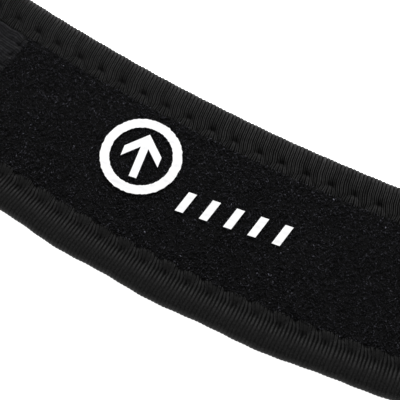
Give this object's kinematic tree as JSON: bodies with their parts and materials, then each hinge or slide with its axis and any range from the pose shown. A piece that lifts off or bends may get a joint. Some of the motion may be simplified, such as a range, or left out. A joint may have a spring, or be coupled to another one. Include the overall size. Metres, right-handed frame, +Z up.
{
  "type": "knee support strap",
  "caption": "Arc-shaped knee strap of foam with a brushed loop face, a ribbed edge binding, a tape across the join of its faces and a hook patch under one end.",
  "frame": {"origin": "on the underside, at the middle of the strap's width and length", "axes": "+X along the strap at its middle, towards the end with the loop face; +Y towards the concave edge; +Z up, out of the printed face"},
  "size_m": [0.3907, 0.0839, 0.0085],
  "materials": {
    "foam_knit": "matt black jersey knit over foam",
    "loop_pile": "brushed black loop pile",
    "smooth_knit": "matt black jersey knit",
    "ribbed_tape": "black ribbed tape with a soft sheen",
    "hook_tape": "black moulded hooks",
    "sewing_thread": "black polyester thread",
    "transfer_print": "white heat-transfer film"
  },
  "bodies": {
    "root": {"core": "foam_knit", "loop_face": "loop_pile", "tongue_face": "smooth_knit", "cross_tape": "ribbed_tape", "edge_binding": "ribbed_tape", "hook_patch": "hook_tape"}
  },
  "joints": []
}
